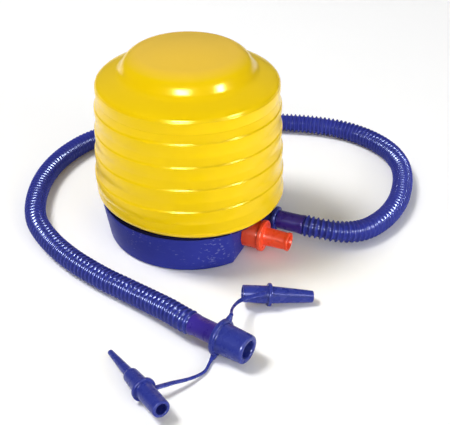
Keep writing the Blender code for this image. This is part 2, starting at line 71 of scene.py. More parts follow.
# where down a rib its points lie: closest round the edge, which catches the light
RIB_STEPS = (*np.linspace(-0.4, -0.12, 7), *np.linspace(-0.09, 0.12, 15), *np.linspace(0.16, 0.6, 11))
GROOVE_SHARE = 0.60
RIM_SHARE = 0.10
LOWEST_SHARE = 0.10
WALL = 1.8
LIP_BOTTOM = 32.4
LIP_RADIUS = 69.0
LIP_INNER_RADIUS = 61.4
# how far the lowest rib is drawn up and in at the front left, from which radius, and below which height
LIP_LIFT = 0.8
LIP_DRAW = 3.6
LIP_DRAWN_FROM = (66.0, 70.0)
LIP_DRAWN_BELOW = 52.0
LIP_DRAWN_TOWARD = np.array([-0.77, -0.64])
PAD_TOP = 155.4
PAD_CROWN = 3.0
PAD_FLAT_RADIUS = 34.0
PAD_CORNER = 16.5
# the dome's wall leans, and meets the shoulder in a wide hollow
DOME_LEAN = 28.0
DOME_WALL = 3.0
FOOT_RADIUS = 9.0
FOOT_END = 72.0
# how strongly the shoulder's curve leaves the dome's foot and meets the rim, as shares of its width
SHOULDER_PULL = (0.52, 0.26)
PAD_WALL = 0.8 * WALL
SEAM_GAP = 0.1
BELLOWS_SEGMENTS = 144

# return spring
SPRING_WIRE_RADIUS = 1.3
SPRING_RADIUS = 30.0
SPRING_TURNS = 7
SPRING_CLOSED_TURN = 0.75
SPRING_TOP = 143.7

# base cup, whose thin skirt hides the deck's edge
BASE_TOP_RADIUS = 70.0
BASE_FOOT_RADIUS = 65.4
BASE_FLAT = 54.0
BASE_HEIGHT = 29.0
BASE_SKIRT_TOP = 31.7
BASE_SKIRT_WALL = 0.35

# ports on the base's flat side
FLAT_AZIMUTH = math.radians(-26.0)
FLAT_DISTANCE = BASE_FLAT * MM
OUTLET = (14.0 * MM, 14.8 * MM)
INLET = (-12.5 * MM, 14.8 * MM)

# hose and cuffs
HOSE_RADIUS = 8.35
HOSE_CREST = 8.8
CORRUGATION_PITCH = 4.0
CORRUGATION_DEPTH = 1.9
CORRUGATION_SHARPNESS = 1.6
RINGS_A_CORRUGATION = 9
STRAIGHT_END = 4.0
TOUCH_GAP = 0.3
CUFF_LENGTH = 22.0
PORT_FACE = 17.3

# connector and nozzles
CONNECTOR_AT = Vector((17.3, -155.6, 13.4)) * MM
CONNECTOR_AZIMUTH = math.radians(-38.0)
MEDIUM_SOCKET = Vector((35.8, -107.7, 11.0)) * MM
MEDIUM_TIP = Vector((87.4, -106.2, 5.2)) * MM
SMALL_SOCKET = Vector((-20.4, -218.7, 11.4)) * MM
SMALL_TIP = Vector((-56.2, -156.7, 3.0)) * MM

# camera: its place in metres, its angles in radians, its lens and sensor in millimetres
CAMERA_AT = (0.0, -0.6, 0.408375)
CAMERA_TILT = 0.586
CAMERA_TURN = 0.047
CAMERA_ROLL = 0.004
CAMERA_LENS = 70.163
CAMERA_SENSOR = 36.0

# studio, in metres: the floor's half width, where the lamps look, and how bright the white room is to
# matt light, to the camera and to reflections
FLOOR_REACH = 4.0
LAMPS_LOOK_AT = Vector((0.0, 0.0, 0.12))
MATT_LIGHT = 0.35
SEEN_LIGHT = 1.0
REFLECTED_LIGHT = (0.06, 0.28)
UP_BEHIND = (0.0, 0.5, 0.866)

# middle lines in millimetres, as the CAD's solids lie
HOSE_ROUTE = [
    (105.5, -34.2, 13.8), (117.5, -35.4, 12.1), (129.3, -33.4, 10.5), (140.4, -28.2, 9.4),
    (151.2, -19.4, 8.8), (161.5, -8.0, 8.5), (171.0, 6.5, 8.5), (179.0, 24.0, 8.5),
    (186.0, 48.0, 8.5), (188.5, 73.0, 8.5), (183.5, 98.0, 8.5), (169.5, 121.5, 8.5),
    (148.0, 140.0, 8.5), (121.0, 151.5, 8.5), (92.0, 157.5, 8.5), (57.0, 161.5, 8.5),
    (18.0, 163.5, 8.5), (-25.0, 159.5, 8.5), (-63.0, 147.0, 8.5), (-93.0, 127.5, 8.5),
    (-114.0, 99.0, 8.5), (-126.0, 66.0, 8.5), (-129.5, 31.0, 8.5), (-125.5, -2.0, 8.5),
    (-112.5, -30.0, 8.5), (-92.5, -57.0, 8.5), (-68.5, -80.8, 8.6), (-50.5, -95.6, 8.9),
    (-33.5, -110.2, 9.9), (-17.5, -125.5, 12.0),
]
MEDIUM_STRAP_ROUTE = [
    (25.7, -146.9, 24.3), (26.3, -140.6, 22.6), (27.9, -132.8, 19.4), (31.2, -123.9, 15.9),
    (35.2, -117.4, 13.2), (40.0, -114.4, 12.5), (46.0, -113.2, 13.4), (52.6, -112.2, 14.2),
]
SMALL_STRAP_ROUTE = [
    (12.4, -164.4, 2.6), (10.4, -168.6, 1.7), (7.4, -175.6, 1.6), (2.4, -180.9, 2.4),
    (-5.0, -186.4, 4.4), (-13.8, -191.3, 6.7), (-23.2, -196.6, 8.6), (-26.4, -197.6, 8.8),
]


def make_camera():
    """The camera at the pump's front, looking down over the bellows."""
    tilt, turn, roll = CAMERA_TILT, CAMERA_TURN, CAMERA_ROLL
    forward = Vector((math.sin(turn) * math.cos(tilt), math.cos(turn) * math.cos(tilt), -math.sin(tilt)))
    right = Vector((math.cos(turn), -math.sin(turn), 0.0))
    up = right.cross(forward)
    level = right * math.cos(roll) + up * math.sin(roll)
    upright = up * math.cos(roll) - right * math.sin(roll)
    data = bpy.data.cameras.new("camera")
    data.lens = CAMERA_LENS
    data.sensor_width = CAMERA_SENSOR
    data.clip_start = 0.01
    camera = bpy.data.objects.new("camera", data)
    rows = Matrix((level, upright, -forward)).transposed().to_4x4()
    camera.matrix_world = Matrix.Translation(CAMERA_AT) @ rows
    bpy.context.scene.collection.objects.link(camera)
    bpy.context.scene.camera = camera


def direction(azimuth):
    """A level direction, from its angle off +X."""
    return Vector((math.cos(azimuth), math.sin(azimuth), 0.0))


def port_place(offset, height):
    """Where a port's axis meets the outside of the base's flat side."""
    outward = direction(FLAT_AZIMUTH)
    sideways = direction(FLAT_AZIMUTH + math.pi / 2)
    return outward * FLAT_DISTANCE + sideways * offset + Vector((0.0, 0.0, height))


def along(axis, place):
    """The placing that puts a turned shape's axis along a direction, with its zero at a place."""
    turn = Vector(axis).to_track_quat("Z", "X").to_matrix().to_4x4()
    return Matrix.Translation(place) @ turn


def add_piece(name, mesh, finish, body, stands_for=(), placing=None, smooth=40.0):
    """Link a piece, finish it, and let it ride on its CAD body."""
    if placing is not None:
        mesh.transform(placing)
    mesh.shade_smooth()
    mesh.set_sharp_from_angle(angle=math.radians(smooth))
    mesh.materials.append(finish)
    piece = bpy.data.objects.new(name, mesh)
    bpy.context.scene.collection.objects.link(piece)
    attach(piece, body)
    if stands_for:
        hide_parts(*stands_for)
    return piece


def mesh_of(name, points, faces):
    """A closed mesh with its faces pointing out."""
    mesh = bpy.data.meshes.new(name)
    mesh.from_pydata([tuple(p) for p in points], [], faces)
    bm = bmesh.new()
    bm.from_mesh(mesh)
    bmesh.ops.remove_doubles(bm, verts=bm.verts, dist=MERGE_DISTANCE)
    bmesh.ops.recalc_face_normals(bm, faces=bm.faces)
    bm.to_mesh(mesh)
    bm.free()
    return mesh


def rounded(outline, radius, steps=4, closed=True):
    """The outline with its corners rounded. A point may carry its own radius as a third number."""
    made = []
    last = len(outline) - 1
    for k, corner in enumerate(outline):
        own = corner[2] if len(corner) > 2 else radius
        here = Vector(corner[:2])
        if own <= 0.0 or (not closed and k in (0, last)):
            made.append(tuple(here))
            continue
        back = Vector(outline[k - 1][:2]) - here
        ahead = Vector(outline[(k + 1) % len(outline)][:2]) - here
        cut = min(own, CORNER_SHARE * back.length, CORNER_SHARE * ahead.length)
        start = here + back.normalized() * cut
        end = here + ahead.normalized() * cut
        for s in range(steps + 1):
            t = s / steps
            made.append(tuple(start * (1 - t) ** 2 + here * (2 * t * (1 - t)) + end * t**2))
    return made


def lathe(name, outline, segments=96):
    """Turn an outline in millimetres about Z: a ring, or a solid when it starts on the axis."""
    turns = [2.0 * math.pi * k / segments for k in range(segments)]
    points = []
    for radius, height in outline:
        points += [(radius * math.cos(a) * MM, radius * math.sin(a) * MM, height * MM) for a in turns]
    rings = len(outline)
    pairs = [(k, k + 1) for k in range(rings - 1)]
    if outline[0][0] > 0.0:
        pairs.append((rings - 1, 0))
    faces = []
    for low, high in pairs:
        for k in range(segments):
            after = (k + 1) % segments
            face = [low * segments + k, low * segments + after, high * segments + after, high * segments + k]
            faces.append(face)
    return mesh_of(name, points, faces)


def arc(centre, radius, start, end, steps):
    """Points on a circle's arc, angles in degrees from the radial direction."""
    angles = [math.radians(start + (end - start) * k / steps) for k in range(steps + 1)]
    return [(centre[0] + radius * math.cos(a), centre[1] + radius * math.sin(a)) for a in angles]


def evenly(line, count):
    """A number of evenly spaced points along a line."""
    steps = np.linalg.norm(np.diff(line, axis=0), axis=1)
    walked = np.concatenate([[0.0], np.cumsum(steps)])
    wanted = np.linspace(0.0, walked[-1], count)
    return np.stack([np.interp(wanted, walked, line[:, axis]) for axis in range(3)], axis=1)


def line_length(line):
    """Length of a middle line."""
    return float(np.linalg.norm(np.diff(line, axis=0), axis=1).sum())


def smooth_line(points, spacing, leaving=None, arriving=None, fine_steps=60):
    """Evenly spaced points on a Catmull-Rom curve, which may leave and arrive in set directions."""
    first = 2 * points[0] - points[1]
    last = 2 * points[-1] - points[-2]
    if leaving:
        first = points[1] - leaving * 2.0 * (points[1] - points[0]).length
    if arriving:
        last = points[-2] + arriving * 2.0 * (points[-1] - points[-2]).length
    padded = [first, *points, last]
    fine = [points[0]]
    for before, here, there, after in zip(padded, padded[1:], padded[2:], padded[3:]):
        for k in range(1, fine_steps + 1):
            t = k / fine_steps
            pull = here * 2 + (there - before) * t
            pull += (before * 2 - here * 5 + there * 4 - after) * t**2
            pull += (here * 3 - before - there * 3 + after) * t**3
            fine.append(pull / 2)
    line = np.array([tuple(p) for p in fine])
    return evenly(line, max(2, round(line_length(line) / spacing)) + 1)


def sweep(name, line, sections, sides, level=None, power=1.0):
    """Skin a cord along its middle line. Each section is its half width and half height there."""
    ahead = np.gradient(line, axis=0)
    ahead /= np.linalg.norm(ahead, axis=1)[:, None]
    turns = np.linspace(0.0, 2.0 * math.pi, sides, endpoint=False)
    across = np.sign(np.cos(turns)) * np.abs(np.cos(turns)) ** power
    upward = np.sign(np.sin(turns)) * np.abs(np.sin(turns)) ** power
    side = np.cross(ahead[0], (0.0, 0.0, 1.0))
    points = []
    for k, centre in enumerate(line):
        if level is not None:
            side = np.cross(ahead[k], level)
        side = side - ahead[k] * (side @ ahead[k])
        side = side / np.linalg.norm(side)
        rise = np.cross(side, ahead[k])
        width, height = sections[k]
        points += list(centre + np.outer(across * width, side) + np.outer(upward * height, rise))
    faces = []
    for k in range(len(line) - 1):
        for s in range(sides):
            after = (s + 1) % sides
            faces.append([k * sides + s, k * sides + after, (k + 1) * sides + after, (k + 1) * sides + s])
    faces.append(list(range(sides)))
    faces.append([(len(line) - 1) * sides + s for s in range(sides)])
    return mesh_of(name, points, faces)


class Finish:
    """A Principled material that is built up from procedural nodes in object space."""

    def __init__(self, name, roughness, **uniform):
        self.material = bpy.data.materials.new(name)
        self.material.use_nodes = True
        self.tree = self.material.node_tree
        self.shader = self.tree.nodes["Principled BSDF"]
        self.shader.inputs["Roughness"].default_value = roughness
        for socket, value in uniform.items():
            self.shader.inputs[socket.replace("_", " ")].default_value = value
        self.place = self.tree.nodes.new("ShaderNodeTexCoord").outputs["Object"]

    def node(self, kind, inputs=(), **settings):
        """Add a node. Its inputs are values, or sockets to link."""
        made = self.tree.nodes.new(kind)
        for setting, value in settings.items():
            setattr(made, setting, value)
        for socket, value in dict(inputs).items():
            if isinstance(value, bpy.types.NodeSocket):
                self.tree.links.new(value, made.inputs[socket])
            else:
                made.inputs[socket].default_value = value
        return made

    def noise(self, scale, detail=2.0, roughness=0.5):
        """A cloudy pattern, about 0.5 on average."""
        values = {"Vector": self.place, "Scale": scale, "Detail": detail, "Roughness": roughness}
        return self.node("ShaderNodeTexNoise", values).outputs["Fac"]

    def spread(self, value, low, high, to_low=0.0, to_high=1.0):
        """Map a range of a value to another range, held at its ends."""
        values = {"Value": value, "From Min": low, "From Max": high, "To Min": to_low, "To Max": to_high}
        return self.node("ShaderNodeMapRange", values).outputs["Result"]

    def product(self, one, other):
        """Two values multiplied."""
        return self.node("ShaderNodeMath", {0: one, 1: other}, operation="MULTIPLY").outputs[0]

    def mixed(self, share, one, other):
        """A colour between two others."""
        node = self.node("ShaderNodeMix", {0: share}, data_type="RGBA")
        for socket, value in ((6, one), (7, other)):
            if isinstance(value, bpy.types.NodeSocket):
                self.tree.links.new(value, node.inputs[socket])
            else:
                node.inputs[socket].default_value = (*value, 1.0)
        return node.outputs[2]

    def colour(self, value):
        """Set where the base colour comes from."""
        self.tree.links.new(value, self.shader.inputs["Base Color"])
        return self

    def gloss(self, value):
        """Set where the roughness comes from."""
        self.tree.links.new(value, self.shader.inputs["Roughness"])
        return self

    def relief(self, *layers):
        """Add bump layers, each a pattern, a strength and a depth in metres."""
        normal = None
        for pattern, strength, depth in layers:
            values = {"Height": pattern, "Strength": strength, "Distance": depth}
            if normal is not None:
                values["Normal"] = normal
            normal = self.node("ShaderNodeBump", values).outputs["Normal"]
        self.tree.links.new(normal, self.shader.inputs["Normal"])
        return self

    def upward(self):
        """How far the surface faces up, from -1 to 1."""
        normal = self.node("ShaderNodeNewGeometry").outputs["Normal"]
        return self.node("ShaderNodeSeparateXYZ", {"Vector": normal}).outputs["Z"]

    def edges(self):
        """0 on flat places and 1 along sharp convex edges."""
        bend = self.node("ShaderNodeNewGeometry").outputs["Pointiness"]
        return self.spread(bend, 0.51, 0.60)


def vinyl():
    """Glossy soft vinyl with painted light: painted shade darkens the faces that turn up and lightens those
    that turn down, and a painted pale sheen covers the dome's level top.
    """
    made = Finish(
        "yellow_vinyl_skin", 0.2, Specular_IOR_Level=0.5, Specular_Tint=(1.0, 0.8, 0.2, 1.0))
    cloud = made.spread(made.noise(14.0, 3.0), 0.35, 0.65)
    upright = made.mixed(cloud, (0.88, 0.59, 0.001), (0.87, 0.58, 0.001))
    # painted shade: faces that turn up are darkened and faces that turn down are lightened, to even out the
    # lamps' shading
    below = made.spread(made.upward(), -0.22, 0.12)
    painted_shade_up = made.spread(made.upward(), 0.12, 0.95)
    body = made.mixed(painted_shade_up, made.mixed(below, (0.95, 0.645, 0.001), upright), (0.75, 0.505, 0.001))
    # painted sheen: the dome's level top is paled toward the colour of the overhead light's reflection
    height = made.node("ShaderNodeSeparateXYZ", {"Vector": made.place}).outputs["Z"]
    level = made.spread(made.upward(), 0.70, 1.0)
    painted_sheen_mask = made.product(level, made.spread(height, 0.137, 0.149))
    top = made.mixed(made.noise(60.0), (0.76, 0.485, 0.040), (0.78, 0.50, 0.046))
    made.colour(made.mixed(painted_sheen_mask, body, top))
    made.gloss(made.spread(made.noise(90.0, 4.0), 0.3, 0.7, 0.17, 0.23))
    return made.relief((made.noise(1400.0, 2.0), 0.10, 0.00008)).material


def moulded(name, dark, light, roughness, grain_scale=900.0, grain_depth=0.00012, speckle=0.0, **uniform):
    """Injection-moulded plastic: cloudy tint, fine grain, paler edges, and specks if asked."""
    made = Finish(name, roughness, **uniform)
    cloud = made.spread(made.noise(45.0, 4.0, 0.6), 0.32, 0.68)
    body = made.mixed(cloud, dark, light)
    if speckle:
        stretched = made.node("ShaderNodeMapping", {"Vector": made.place, "Scale": (1.0, 1.0, 2.0)})
        values = {"Vector": stretched.outputs["Vector"], "Scale": 300.0, "Detail": 3.0}
        flecks = made.node("ShaderNodeTexNoise", values).outputs["Fac"]
        patches = made.spread(made.noise(38.0, 2.0), 0.45, 0.62)
        specks = made.product(made.spread(flecks, 0.59, 0.67), patches)
        specks = made.spread(specks, 0.0, 1.0, 0.0, speckle)
        pale = tuple(min(1.0, c + 0.12) for c in light)
        body = made.mixed(specks, body, pale)
    pale_edge = tuple(min(1.0, c * 1.2 + 0.02) for c in light)
    made.colour(made.mixed(made.spread(made.edges(), 0.0, 1.0, 0.0, 0.5), body, pale_edge))
    made.gloss(made.spread(made.noise(180.0, 3.0), 0.3, 0.7, roughness - 0.02, roughness + 0.03))
    grain = made.noise(grain_scale, 3.0)
    dents = made.noise(60.0, 1.0)
    return made.relief((grain, 0.25, grain_depth), (dents, 0.03, 0.0003)).material


def rubber():
    """Matt black rubber with a fine grain and a dusty bloom."""
    made = Finish("black_rubber_skin", 0.7)
    bloom = made.spread(made.noise(220.0, 4.0, 0.7), 0.4, 0.75)
    made.colour(made.mixed(bloom, (0.012, 0.012, 0.013), (0.045, 0.044, 0.042)))
    made.gloss(made.spread(made.noise(400.0), 0.3, 0.7, 0.62, 0.8))
    return made.relief((made.noise(1800.0, 3.0), 0.4, 0.0001)).material


def steel():
    """Drawn spring wire, with darker scale in places."""
    made = Finish("spring_steel_skin", 0.3, Metallic=1.0)
    scale = made.spread(made.noise(240.0, 4.0, 0.65), 0.45, 0.7)
    made.colour(made.mixed(scale, (0.60, 0.61, 0.63), (0.33, 0.31, 0.29)))
    made.gloss(made.spread(made.noise(700.0, 3.0), 0.3, 0.7, 0.22, 0.42))
    return made.relief((made.noise(2600.0, 2.0), 0.25, 0.00005)).material


BLUE_TINTS = ((0.022, 0.032, 0.235), (0.025, 0.037, 0.262))
BASE_TINTS = ((0.030, 0.038, 0.285), (0.034, 0.044, 0.32))
# the deck's near-black tint is painted shade, for the dark gap under the bellows' lip
DECK_PAINTED_SHADE_TINTS = ((0.007, 0.006, 0.045), (0.010, 0.009, 0.06))
HOSE_TINTS = ((0.024, 0.031, 0.26), (0.028, 0.037, 0.29))
VIOLET_TINTS = ((0.033, 0.014, 0.24), (0.038, 0.018, 0.27))
RED_TINTS = ((0.96, 0.080, 0.024), (0.99, 0.092, 0.030))
WHITE_TINTS = ((0.70, 0.70, 0.67), (0.80, 0.80, 0.78))
BLUE_SHINE = {"Specular_IOR_Level": 0.34, "Specular_Tint": (0.6, 0.65, 1.0, 1.0)}
BASE_SHINE = {"Specular_IOR_Level": 0.03, "Specular_Tint": (0.6, 0.65, 1.0, 1.0)}
HOSE_SHINE = {"Specular_IOR_Level": 0.28, "Specular_Tint": (0.6, 0.7, 1.0, 1.0)}
RED_SHINE = {"Specular_IOR_Level": 0.34, "Specular_Tint": (1.0, 0.6, 0.5, 1.0)}
ROUGH_GRAIN = {"grain_scale": 420.0, "grain_depth": 0.0004, "speckle": 0.9}
HOSE_GRAIN = {"grain_scale": 500.0, "grain_depth": 0.0002}
DISC_GRAIN = {"grain_scale": 700.0, "grain_depth": 0.0002}

YELLOW = vinyl()
BASE_BLUE = moulded("blue_plastic_base", *BASE_TINTS, roughness=0.34, **ROUGH_GRAIN, **BASE_SHINE)
DECK_PAINTED_SHADE = moulded("deck_painted_shade", *DECK_PAINTED_SHADE_TINTS, roughness=0.5, **BASE_SHINE)
HOSE_BLUE = moulded("blue_plastic_hose", *HOSE_TINTS, roughness=0.22, **HOSE_GRAIN, **HOSE_SHINE)
SMOOTH_BLUE = moulded("blue_plastic_smooth", *BLUE_TINTS, roughness=0.27, **BLUE_SHINE)
VIOLET = moulded("violet_plastic_sleeve", *VIOLET_TINTS, roughness=0.28, **BLUE_SHINE)
RED = moulded("red_plastic_skin", *RED_TINTS, roughness=0.28, **RED_SHINE)
WHITE = moulded("white_plastic_skin", *WHITE_TINTS, roughness=0.42, **DISC_GRAIN)
BLACK = rubber()
STEEL = steel()


def cuff_outline():
    """A smooth sleeve on one end of the hose, its mouth at zero."""
    return [
        (5.6, 0.0), (7.4, 0.0), (7.4, 17.5, 2.0), (7.9, 20.6, 1.5), (7.9, CUFF_LENGTH), (5.6, CUFF_LENGTH),
    ]


def make_cuffs(mouths):
    """The smooth sleeves on the hose's ends, each from its name, its axis and the place of its mouth."""
    cuffs = []
    for name, axis, place in mouths:
        mesh = lathe("cuff_" + name, rounded(cuff_outline(), 0.6))
        cuffs.append(add_piece(
            "cuff_sleeve_" + name, mesh, VIOLET, "pump_base", ["hose_cuff_" + name],
            along(axis, place)))
    return cuffs


def make_hose():
    """The corrugated hose and its cuffs, laid on the floor round the pump from the port to the connector."""
    outward = direction(FLAT_AZIMUTH)
    forward = direction(CONNECTOR_AZIMUTH)
    gap = TOUCH_GAP * MM
    pump_mouth = port_place(*OUTLET) + outward * PORT_FACE * MM
    tool_mouth = CONNECTOR_AT - forward * gap
    cuffs = make_cuffs((("pump_end", outward, pump_mouth), ("tool_end", -forward, tool_mouth)))

    past_cuff = CUFF_LENGTH * MM + gap
    start = pump_mouth + outward * past_cuff
    end = tool_mouth - forward * past_cuff
    straight = STRAIGHT_END * MM
    lift = Vector((0.0, 0.0, HOSE_CREST - HOSE_RADIUS))
    laid = [(Vector(p) + lift) * MM for p in HOSE_ROUTE]
    route = [start + outward * straight] + laid + [end - forward * straight]
    bends = smooth_line(route, 1.0 * MM, outward, forward)
    coarse = np.array([start, *(Vector(p) for p in bends), end])
    total = line_length(coarse)
    ribs = round(total / (CORRUGATION_PITCH * MM))
    line = evenly(coarse, ribs * RINGS_A_CORRUGATION + 1)
    share = np.arange(len(line)) / RINGS_A_CORRUGATION
    crest = (0.5 - 0.5 * np.cos(2.0 * math.pi * share)) ** CORRUGATION_SHARPNESS
    radii = (HOSE_CREST - CORRUGATION_DEPTH * (1.0 - crest)) * MM
    mesh = sweep("hose_corrugated", line, np.stack([radii, radii], axis=1), 36)
    hose = add_piece("hose_corrugated", mesh, HOSE_BLUE, "pump_base", ["hose"], smooth=80.0)
    return hose, cuffs, line[::RINGS_A_CORRUGATION * 2], total


def connector_outline():
    """The large outlet: spigot, flange and tapering body with a rounded lip and its bore."""
    return [
        (3.6, -12.0), (4.9, -12.0), (5.3, -10.8), (5.3, 0.0, 0.2), (13.2, 0.0, 0.9), (13.2, 3.2, 0.9),
        (10.9, 3.2, 0.9), (10.2, 23.9, 2.0), (6.3, 23.9, 1.4), (6.2, 9.0, 0.3), (3.6, 7.0, 0.3),
    ]


def make_connector():
    """The connector and the two rounded lugs on its flange."""
    forward = direction(CONNECTOR_AZIMUTH)
    level = direction(CONNECTOR_AZIMUTH + math.pi / 2)
    mesh = lathe("connector_shell", rounded(connector_outline(), 0.5, 5), 128)
    placing = along(forward, CONNECTOR_AT)
    body = add_piece(
        "connector_shell", mesh, SMOOTH_BLUE, "connector", ["end_connector"], placing)
    lugs = []
    for name, angle in (("medium", 45.0), ("small", -130.0)):
        turn = math.radians(angle)
        spoke = level * math.cos(turn) + Vector((0.0, 0.0, math.sin(turn)))
        outline = [(0.0, 11.6), (2.3, 11.6, 0.3), (2.2, 13.6, 0.8), (1.4, 16.0, 0.8), (0.0, 16.2)]
        lug = lathe("connector_lug_" + name, rounded(outline, 0.5, 4, closed=False), 40)
        place = along(spoke, CONNECTOR_AT + forward * 1.6 * MM)
        lugs.append(add_piece(
            "connector_lug_" + name, lug, SMOOTH_BLUE, "connector", placing=place))
    return body, lugs


def nozzle_outlines():
    """The medium nozzle, and the longer small one with its stepped tip."""
    medium_length = (MEDIUM_TIP - MEDIUM_SOCKET).length / MM
    medium = [
        (4.8, 0.0), (6.3, 0.0, 0.7), (6.6, 18.4, 0.3), (8.5, 18.4, 0.8), (8.5, 21.0, 0.8), (6.4, 21.2, 0.3),
        (4.35, medium_length, 0.9), (2.6, medium_length, 0.5), (2.6, 24.0, 0.5), (4.6, 16.0, 0.5),
    ]
    small_length = (SMALL_TIP - SMALL_SOCKET).length / MM
    small = [
        (3.8, 0.0, 0.5), (6.0, 0.0, 0.8), (6.3, 22.4, 0.3), (8.3, 22.4, 0.8), (8.3, 25.0, 0.8),
        (6.2, 25.2, 0.3), (5.3, 42.0, 1.2), (3.5, 43.6, 0.8), (1.95, small_length, 0.7),
        (1.1, small_length, 0.2), (1.1, 22.0, 0.2), (3.8, 18.0, 0.5),
    ]
    return medium, small


def strap_sections(count):
    """Half widths and half heights along a strap: a cord with a thick root that widens into a ribbon."""
    share = np.linspace(0.0, 1.0, count)
    swell = np.clip((share - 0.25) / 0.6, 0.0, 1.0) ** 1.3
    root = np.clip(1.0 - share / 0.08, 0.0, 1.0) * 0.5
    return np.stack([1.0 + 0.95 * swell + root, 0.95 - 0.15 * swell + root], axis=1) * MM


def make_nozzles():
    """The two tethered nozzles and their straps."""
    medium, small = nozzle_outlines()
    jobs = (
        ("medium", medium, MEDIUM_SOCKET, MEDIUM_TIP, MEDIUM_STRAP_ROUTE, (0.25, -0.35, 0.9)),
        ("small", small, SMALL_SOCKET, SMALL_TIP, SMALL_STRAP_ROUTE, (0.0, 0.0, 1.0)),
    )
    for name, outline, socket, tip, route, level in jobs:
        body = name + "_tether"
        shell = lathe(name + "_nozzle_shell", rounded(outline, 0.4, 5), 96)
        nozzle = add_piece(
            name + "_nozzle_shell", shell, SMOOTH_BLUE, body, [name + "_nozzle"],
            along(tip - socket, socket))
        line = smooth_line([Vector(p) * MM for p in route], 0.8 * MM)
        sections = strap_sections(len(line))
        mesh = sweep(name + "_strap_ribbon", line, sections, 20, level=level, power=0.8)
        strap = add_piece(
            name + "_strap_ribbon", mesh, SMOOTH_BLUE, body, [name + "_strap"], smooth=60.0)


def crest_radius(index):
    """Radius of the ribs' edges at a place counted from the top rib, which may lie between two ribs."""
    return float(np.interp(index, range(RIB_COUNT), RIB_RADII))


def crest_height(index):
    """Height of a rib's edge, counted from the top."""
    return TOP_RIB_HEIGHT - RIB_PITCH * index


def rib_depth(share):
    """How deep a rib's face lies at a share of the pitch below its edge: a smooth curve."""
    shares = [p[0] for p in RIB_SHAPE]
    depths = [p[1] for p in RIB_SHAPE]
    slopes = np.gradient(depths, shares)
    k = min(max(int(np.searchsorted(shares, share)) - 1, 0), len(shares) - 2)
    width = shares[k + 1] - shares[k]
    t = (share - shares[k]) / width
    rise = depths[k] * (2 * t**3 - 3 * t**2 + 1) + depths[k + 1] * (3 * t**2 - 2 * t**3)
    bend = slopes[k] * (t**3 - 2 * t**2 + t) + slopes[k + 1] * (t**3 - t**2)
    return rise + bend * width


def rib_curve(index, start, end):
    """Points down a rib's outer face, from one share of the pitch below its edge to another."""
    points = []
    apart = 0.001
    between = [step for step in RIB_STEPS if start + apart < step < end - apart]
    for share in (start, *between, end):
        depth = FOLD_DEPTH * rib_depth(share)
        if index == RIB_COUNT - 1:
            # the lowest rib's upper face stands further out than the others'
            depth *= float(np.interp(share, (-0.4, -0.1), (1.0, 0.3)))
        points.append((crest_radius(index + share) - depth, crest_height(index + share)))
    return points


def inside_of(outer):
    """The shell's inner side: the same outline, nearer the axis."""
    return [(radius - WALL, height) for radius, height in outer]


def settle_lip(mesh):
    """Draw the lowest rib up and in at the front left, where the photographed one doesn't hang so low."""
    count = len(mesh.vertices)
    flat = np.empty(count * 3)
    mesh.vertices.foreach_get("co", flat)
    points = flat.reshape(count, 3)
    reach = np.hypot(points[:, 0], points[:, 1])
    facing = np.clip(points[:, :2] @ LIP_DRAWN_TOWARD / reach, 0.0, 1.0) ** 2
    low = np.interp(points[:, 2] / MM, (LIP_BOTTOM, LIP_DRAWN_BELOW), (1.0, 0.0))
    outer = np.interp(reach / MM, LIP_DRAWN_FROM, (0.0, 1.0))
    share = facing * outer * low**2 * (3.0 - 2.0 * low)
    points[:, :2] *= (1.0 - LIP_DRAW * MM * share / reach)[:, None]
    points[:, 2] += LIP_LIFT * MM * share
    mesh.vertices.foreach_set("co", flat)
    mesh.update()


def make_bellows():
    """The vinyl folds, from the seam under the top rib to the lip on the deck."""
    seam = crest_height(GROOVE_SHARE)
    outer = []
    for index in range(1, RIB_COUNT):
        lowest = GROOVE_SHARE if index < RIB_COUNT - 1 else LOWEST_SHARE
        outer += rib_curve(index, GROOVE_SHARE - 1.0, lowest)[1 if outer else 0:]
    outer[0] = (outer[0][0], seam - SEAM_GAP)
    base_radius, base_height = outer[-1]
    turn_in = [(base_radius, base_height, 0.0), (base_radius - 0.9, base_height - 2.4, 2.0)]
    turn_in += [(LIP_RADIUS + 0.6, LIP_BOTTOM, 1.4), (LIP_RADIUS - 2.0, LIP_BOTTOM, 0.0)]
    outer += rounded(turn_in, 0.0, 6, closed=False)[1:]
    inner = [p for p in inside_of(outer) if p[1] > LIP_BOTTOM + 2 * WALL]
    lip = [(LIP_INNER_RADIUS, LIP_BOTTOM), (LIP_INNER_RADIUS, LIP_BOTTOM + WALL)]
    lip.append((LIP_RADIUS - 1.0, LIP_BOTTOM + WALL))
    mesh = lathe("bellows_skin", outer + lip + inner[::-1], BELLOWS_SEGMENTS)
    settle_lip(mesh)
    skin = add_piece(
        "bellows_skin", mesh, YELLOW, "pump_base", ["bellows_folds"], smooth=80.0)
    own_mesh(skin)


def dome_outline():
    """The pad's crown, its rounded corner, its leaning wall and the hollow at the wall's foot."""
    corner_height = PAD_TOP - PAD_CROWN - PAD_CORNER
    dome = [(0.0, PAD_TOP)]
    for share in (0.25, 0.5, 0.75):
        dome.append((PAD_FLAT_RADIUS * share, PAD_TOP - PAD_CROWN * share**2))
    dome += arc((PAD_FLAT_RADIUS, corner_height), PAD_CORNER, 86.0, DOME_LEAN, 14)
    lean, end = math.radians(DOME_LEAN), math.radians(FOOT_END)
    radius = dome[-1][0] + DOME_WALL * math.sin(lean)
    height = dome[-1][1] - DOME_WALL * math.cos(lean)
    dome.append((radius, height))
    steps = 10
    for k in range(1, steps + 1):
        tilt = lean + (end - lean) * k / steps
        out_to = radius + FOOT_RADIUS * (math.cos(lean) - math.cos(tilt))
        dome.append((out_to, height - FOOT_RADIUS * (math.sin(tilt) - math.sin(lean))))
    return dome


